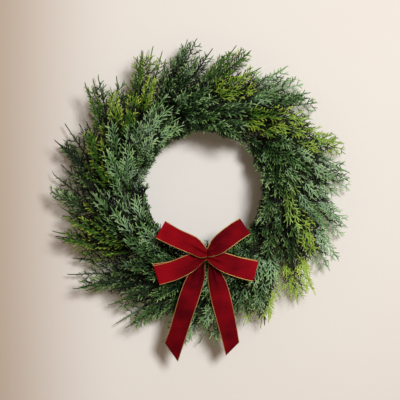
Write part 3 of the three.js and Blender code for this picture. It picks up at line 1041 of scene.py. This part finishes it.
def stem(spray):
    """The woody stem, coiled round the ring and run out into the spray."""
    turns = np.linspace(0, 1, COIL_STEPS)
    angles = np.radians(spray.kind["leaves"] - COIL_TURN * (1 - turns))
    coil = []
    for t, turn in zip(turns, angles):
        radius = RING_RADIUS + COIL_RADIUS * math.cos(turn)
        forward = RING_FORWARD + COIL_RADIUS * math.sin(turn)
        coil.append(place(radius, -COIL_PITCH * (1 - t) / RING_RADIUS, forward))
    distances = np.linspace(STEM_LEAVES, STEM_WOODY * spray.kind["bare"], STEM_STEPS)
    line = np.vstack((coil, spray.path.at(distances)))
    points, faces = tube(line, np.linspace(STEM_RADIUS, STEM_TIP_RADIUS, len(line)), STEM_SIDES)
    return spray.turned(points), faces


class Surfaces:
    """The front and back of the foliage as a whole: its nearest and furthest leaf over each cell."""

    def __init__(self, points):
        spots = points[:, (0, 2)]
        self.low = spots.min(0) - CELL_MARGIN * CELL
        self.shape = tuple((np.ptp(spots, axis=0) / CELL).astype(int) + 2 * CELL_MARGIN + 1)
        cell = self.cell(points)
        front = np.full(self.shape, float(BACK_LIMIT))
        back = np.full(self.shape, float(FRONT_LIMIT))
        np.minimum.at(front, cell, points[:, 1])
        np.maximum.at(back, cell, points[:, 1])
        self.front = self.spread(front, np.minimum)
        self.back = self.spread(back, np.maximum)

    def cell(self, points):
        return tuple(((points[:, (0, 2)] - self.low) / CELL).astype(int).T)

    def spread(self, field, outermost):
        """The outermost of each cell and its neighbours, evened out."""
        field = outermost.reduce([field, *self.neighbours(field)])
        return (2 * field + sum(self.neighbours(field))) / 6

    def neighbours(self, field):
        wide = np.pad(field, 1, mode="edge")
        return wide[2:, 1:-1], wide[:-2, 1:-1], wide[1:-1, 2:], wide[1:-1, :-2]

    def depth(self, points):
        """How far each point lies behind the front of the foliage, or before its back where that is less."""
        cell = self.cell(points)
        return np.minimum(points[:, 1] - self.front[cell], self.back[cell] - points[:, 1])


def build_spray(spray, mesh, surfaces, finish):
    """The leaves and the stem of a spray as one piece, with what its finish reads at each point."""
    leaf_points, ages, tones, leaf_faces = mesh
    stem_points, stem_faces = stem(spray)
    count, extra = len(leaf_points), len(stem_points)
    points = np.vstack((leaf_points, stem_points))
    faces = leaf_faces.tolist() + [tuple(count + corner for corner in face) for face in stem_faces]
    piece = add_piece(spray.name + "_foliage", points, faces, finish, [spray.name])
    write_attribute(piece, "age", np.concatenate((np.clip(ages, 0, 1), np.zeros(extra))))
    write_attribute(piece, "tone", np.concatenate((tones, np.full(extra, TONE))))
    # Painted shade: the deeper a point lies inside the foliage, the darker it is painted
    write_attribute(piece, "inner", smoothstep(surfaces.depth(points), *PAINTED_SHADE_DEPTHS))
    write_attribute(piece, "bark", np.concatenate((np.zeros(count), np.ones(extra))))
    # Bloom, and painted light that brightens the spray on one side of the ring and darkens it across from it
    bloom = swing(math.radians(spray.tip), BLOOM_AND_LIGHT_SIDE, *BLOOMS_AND_LIGHT[spray.kind_name])
    write_attribute(piece, "bloom", np.full(count + extra, bloom))
    write_attribute(piece, "yellow", (spray.name == YELLOW_SPRAY) * yellowness(points))


def yellowness(points):
    """How yellow the fresh shoots are at each point: 1 near their place and 0 out of its reach."""
    away = np.linalg.norm(points[:, (0, 2)] - YELLOW_PLACE, axis=1)
    return 1 - smoothstep(away, *YELLOW_REACH)


def write_attribute(piece, name, values):
    attribute = piece.data.attributes.new(name, "FLOAT", "POINT")
    attribute.data.foreach_set("value", values.astype(np.float32))


def lay_out_sprays():
    """Every spray with its place on the ring: the free one nearest to where its tip wants its root."""
    sprays = [Spray("outer", tip in LIME_TIPS, tip, i + 1) for i, tip in enumerate(OUTER_TIPS)]
    for kind, count, first, lime in EVEN_SPRAYS:
        for i in range(count):
            sprays.append(Spray(kind, i in lime, first + 360 * i / count, len(sprays) + 1))
    taken = set(KEPT_FREE)
    numbers = {}
    for spray in sprays:
        wanted = math.floor((spray.tip - spray.kind["behind"]) * ROOT_PLACES / 360 + 0.5)
        step = 0
        while (wanted + step) % ROOT_PLACES in taken:
            step = -step if step > 0 else 1 - step
        spot = (wanted + step) % ROOT_PLACES
        taken.add(spot)
        spray.root = 360 * spot / ROOT_PLACES
        group = spray.kind_name + ("_lime" if spray.lime else "_green")
        numbers[group] = numbers.get(group, 0) + 1
        spray.name = f"spray_{group}_{numbers[group]:02d}"
    return sprays


def build_foliage(ribbons):
    green = foliage_finish(
        "green_foliage", deep="#11290d", fresh="#70aa52", tip="#cdec96", bloom="#b2d2ae",
    )
    lime = foliage_finish(
        "lime_foliage", deep="#345e14", fresh=YELLOW_LEAF, tip="#e6f462", bloom="#a6c862",
    )
    sprays = lay_out_sprays()
    growths = [grow_spray(spray) for spray in sprays]
    frames = [settle(spray.bend(growth.points()), ribbons) for spray, growth in zip(sprays, growths)]
    surfaces = Surfaces(np.vstack(frames))
    for spray, growth in zip(sprays, growths):
        roots = spray.bend([site[0] for site in growth.sites])
        growth.leaf_out((surfaces.depth(roots) < HIDDEN_DEPTH) | (polar(roots)[0] < HOLE_EDGE + RIM))
        points, ages, tones, faces = twig_mesh(growth.twigs)
        mesh = settle(spray.bend(points), ribbons), ages, tones, faces
        if spray.lime:
            build_spray(spray, mesh, surfaces, lime)
        else:
            build_spray(spray, mesh, surfaces, green)


def build_ring():
    """The wire ring, smoother than its solid."""
    turns = 2 * np.pi * np.arange(RING_STEPS) / RING_STEPS
    line = np.array([place(RING_RADIUS, turn, RING_FORWARD) for turn in turns])
    points, faces = tube(line, RING_WIRE_RADIUS, RING_SIDES, closed=True)
    finish = enamel_finish("ring_wire", "#223022", "#3a4a38")
    add_piece("ring_wire_round", points + (0, 0, RING_CENTRE_Z), faces, finish, ["ring_wire"])


def thick_sheet(grid, thickness):
    """Points and faces of a closed sheet round a grid of points, rows along it and columns across."""
    rows, columns = grid.shape[:2]
    normal = unit(np.cross(np.gradient(grid, axis=0), np.gradient(grid, axis=1)))
    layers = np.concatenate((grid + normal * thickness / 2, grid - normal * thickness / 2))
    index = np.arange(2 * rows * columns).reshape(2, rows, columns)
    faces = []
    for layer, corners in zip(index, ((0, 1, 3, 2), (0, 2, 3, 1))):
        quads = np.stack((layer[:-1, :-1], layer[1:, :-1], layer[:-1, 1:], layer[1:, 1:]), -1).reshape(-1, 4)
        faces += quads[:, corners].tolist()
    top, bottom = index
    rim = np.concatenate((top[:-1, 0], top[-1, :-1], top[:0:-1, -1], top[0, :0:-1]))
    under = np.concatenate((bottom[:-1, 0], bottom[-1, :-1], bottom[:0:-1, -1], bottom[0, :0:-1]))
    for i in range(len(rim)):
        faces.append((rim[i], under[i], under[(i + 1) % len(rim)], rim[(i + 1) % len(rim)]))
    return layers.reshape(-1, 3), [tuple(int(corner) for corner in face) for face in faces]


def edge_path(edge):
    return Path(smooth_line([(x, 0, z) for x, z in edge]))


def ribbon_grid(lower, upper, shares, forward, face):
    """A ribbon between two edges. Where they are closer than it is wide, it is gathered in pleats.

    shares: how far along the edges each row is
    forward: how far each row stands in front of the waist
    face: 1 on a front layer and -1 on a back one
    """
    low, high = (path.at(shares * path.length) for path in (edge_path(lower), edge_path(upper)))
    across = np.linspace(0, 1, RIBBON_COLUMNS + 1)
    grid = low[:, None] + (high - low)[:, None] * across[None, :, None]
    width = np.linalg.norm(high - low, axis=1)
    spare = np.maximum((RIBBON_WIDTH / np.maximum(width, 1)) ** 2 - 1, 0)
    depth = np.minimum(width / (2 * np.pi * PLEATS) * np.sqrt(2 * spare), PLEAT_LIMIT)
    depth *= 1 - PLEATS_LOST * smoothstep(shares, *PLEATS_FADE)
    pleats = np.sin(2 * np.pi * PLEATS * across[None] + PLEAT_SLANT * shares[:, None])
    inward = np.sin(np.pi * across[None])
    crown = CROWN * inward * np.sin(np.pi * np.clip(shares, 0, 1))[:, None]
    grid[..., 1] -= forward[:, None] + depth[:, None] * pleats * inward ** PLEAT_EDGE + face * crown
    return grid


def ripple(shares, height, waves, phase):
    """Soft waves along a ribbon, higher at one edge than at the other in turn."""
    across = np.linspace(-1, 1, RIBBON_COLUMNS + 1)[None]
    turn = 2 * np.pi * waves * shares[:, None] + phase
    skew = RIPPLE_SKEW * across * np.sin(RIPPLE_SKEW_WAVES * turn)
    return height * smoothstep(shares, *RIPPLES_START)[:, None] * (np.sin(turn) + skew)


def swell(t, arch, ease, slope):
    """How far a layer of a loop has swollen from its root to its fullest."""
    return arch * np.sin(np.pi * t ** ease) + slope * t


def loop_rows(loop):
    """Out in front, round the fold and back behind: how far out and forward each row of a loop is."""
    reach = math.hypot(*((loop["upper"][-1][i] + loop["lower"][-1][i]) / 2 for i in (0, 1)))

    def front(t):
        puff = loop["puff"] * (1 - smoothstep(t, *PUFF_FADE))
        return puff + lerp(*loop["front"], swell(t, *LOOP_SWELLS["front"]))

    def back(t):
        return lerp(*loop["back"], swell(t, *LOOP_SWELLS["back"]))

    middle = (front(1.0) + back(1.0)) / 2
    fold = (front(1.0) - back(1.0)) / 2
    straight = reach - fold - RIBBON_THICKNESS / 2
    out = np.linspace(0, 1, LOOP_STEPS + 1)
    turn = np.radians(np.linspace(90, -90, FOLD_STEPS + 2)[1:-1])
    shares = np.concatenate((out * straight, straight + fold * np.cos(turn), out[::-1] * straight)) / reach
    forward = np.concatenate((front(out), middle + fold * np.sin(turn), back(out[::-1])))
    face = np.concatenate((np.ones(len(out)), np.sin(turn), -np.ones(len(out))))
    return shares, forward, face


def gold_edges(name, grid, finish):
    """The two wired edges of a ribbon, as one piece. On an upper loop the top one is rolled out of sight."""
    rolled = GOLD_ROLLED if "upper" in name else 0
    points, faces = [], []
    for edge in (grid[:, 0], lerp(grid[:, -1], grid[:, -2], rolled)):
        edge_points, edge_faces = tube(edge, GOLD_RADIUS, GOLD_SIDES)
        start = sum(len(part) for part in points)
        points.append(edge_points)
        faces += [tuple(start + corner for corner in face) for face in edge_faces]
    return add_piece(name, np.vstack(points), faces, finish)


def build_ribbon(name, grid, painted_light, velvet, gold, held):
    points, faces = thick_sheet(grid, RIBBON_THICKNESS)
    piece = add_piece(name + "_velvet", points, faces, velvet, [name])
    out = np.linalg.norm(points - WAIST, axis=1)
    # Painted light, eased along the ribbon from the waist to its far end
    write_attribute(piece, "painted_light", lerp(*painted_light, out / out.max()))
    edges = gold_edges(name + "_gold_edges", grid, gold)


def bow_grids():
    """The grid and the painted light of each ribbon of the bow, by its node's name."""
    grids = {}
    for name, loop in LOOPS.items():
        shares, forward, face = loop_rows(loop)
        grid = ribbon_grid(loop["lower"], loop["upper"], shares, forward, face[:, None])
        grid[..., 1] -= ripple(shares, *LOOP_RIPPLE, len(name)) * smoothstep(face, 0, 1)[:, None]
        behind = smoothstep(-face, -1, 1)[:, None]
        grid[..., 2] += loop["peek"] * behind * smoothstep(shares, PEEK_STARTS, 1)[:, None]
        grids["bow_loop_" + name] = grid + WAIST, loop["painted_light"]
    for name, tail in TAILS.items():
        shares = np.linspace(0, 1, TAIL_STEPS + 1)
        dip = TAIL_ROOT_FORWARD + TAIL_DIP * smoothstep(shares, 0, TAIL_DIP_ENDS)
        wave = TAIL_WAVE * shares * np.sin(2 * np.pi * shares)
        forward = dip + TAIL_DROP * shares ** TAIL_DROP_EASE + wave
        grid = ribbon_grid(tail["inner"], tail["outer"], shares, forward, np.ones((len(shares), 1)))
        grid[..., 1] -= ripple(shares, *TAIL_RIPPLES[name])
        grids["bow_tail_" + name] = grid + WAIST, TAIL_PAINTED_LIGHT[name]
    return grids


def ribbon_samples(grids):
    """Points spread over the ribbons, for the foliage to stay behind."""
    rows, columns = RIBBON_SAMPLES
    return np.vstack([grid[::rows, ::columns].reshape(-1, 3) for grid, _ in grids.values()])


def build_bow(grids):
    velvet = velvet_finish()
    gold = gold_finish()
    for name, (grid, painted_light) in grids.items():
        build_ribbon(name, grid, painted_light, velvet, gold, "gathered" if "loop" in name else "hung")


def build_tie():
    """The wire that gathers the bow's waist and holds it on the bottom of the ring, as one closed loop."""
    ring = place(RING_RADIUS, math.pi, RING_FORWARD) + (0, 0, RING_CENTRE_Z)
    # Up the front of the waist, back over its top, round behind the ring, and forward again below
    line = [
        WAIST + (0, -8, 2), WAIST + (0, -7, 8.5), WAIST + (0, 0, 12), WAIST + (0, 12, 9),
        ring + (3, -20, 8), ring + (0, -3, 6), ring + (0, 5, 4.4), ring + (0, 5, -4.4),
        ring + (0, -3, -6), ring + (3, -20, -2), WAIST + (0, 12, -9), WAIST + (0, 2, -11),
        WAIST + (0, -5, -6),
    ]
    line = smooth_line(line, closed=True, pieces=TIE_PIECES)
    points, faces = tube(line, TIE_RADIUS, TIE_SIDES, closed=True)
    finish = enamel_finish("tie_wire", "#12401c", "#256b33")
    add_piece("bow_tie_wire_round", points, faces, finish, ["bow_tie_wire"])


def build_wall():
    mesh = bpy.data.meshes.new("wall")
    y = (WALL_Y + WALL_CLEARANCE) * MM
    corners = [(x * WALL_HALF, y, z * WALL_HALF) for x, z in ((-1, -1), (1, -1), (1, 1), (-1, 1))]
    mesh.from_pydata(corners, [], [(0, 1, 2, 3)])
    mesh.materials.append(wall_finish())
    wall = bpy.data.objects.new("wall", mesh)
    bpy.context.scene.collection.objects.link(wall)
    wall.visible_shadow = False


def add_light(name, spot, aim, size, power, tint, spread=180):
    lamp = bpy.data.lights.new(name, "AREA")
    lamp.shape = "DISK"
    lamp.size = size
    lamp.energy = power
    lamp.color = tint
    lamp.spread = math.radians(spread)
    holder = bpy.data.objects.new(name, lamp)
    holder.location = spot
    direction = Vector(aim) - Vector(spot)
    holder.rotation_euler = direction.to_track_quat("-Z", "Y").to_euler()
    bpy.context.scene.collection.objects.link(holder)


def build_stage():
    scene = bpy.context.scene
    build_wall()
    add_light(
        "key", spot=(1.25, -3.6, 0.85), aim=(0, 0, -0.1), size=1.0, power=50.5,
        tint=(0.94, 0.962, 0.98), spread=110,
    )
    add_light(
        "back_fill", spot=(-0.8, 2.2, 0.6), aim=(0, 0, -0.15), size=1.6, power=12,
        tint=(1, 0.96, 0.9),
    )
    world = bpy.data.worlds.new("studio")
    world.use_nodes = True
    background = world.node_tree.nodes["Background"]
    background.inputs["Color"].default_value = ROOM_COLOUR
    background.inputs["Strength"].default_value = ROOM_STRENGTH
    scene.world = world
    scene.view_settings.view_transform = "Standard"
    lens = bpy.data.cameras.new("camera")
    camera = bpy.data.objects.new("camera", lens)
    lens.sensor_width = SENSOR_WIDTH
    lens.lens = SENSOR_WIDTH * VIEW_DISTANCE / VIEW_WIDTH
    camera.location = (VIEW_CENTRE[0], -VIEW_DISTANCE, VIEW_CENTRE[1])
    camera.rotation_euler = (math.pi / 2, 0, 0)
    scene.collection.objects.link(camera)
    scene.camera = camera


build_stage()
bow = bow_grids()
build_foliage(ribbon_samples(bow))
build_ring()
build_tie()
build_bow(bow)
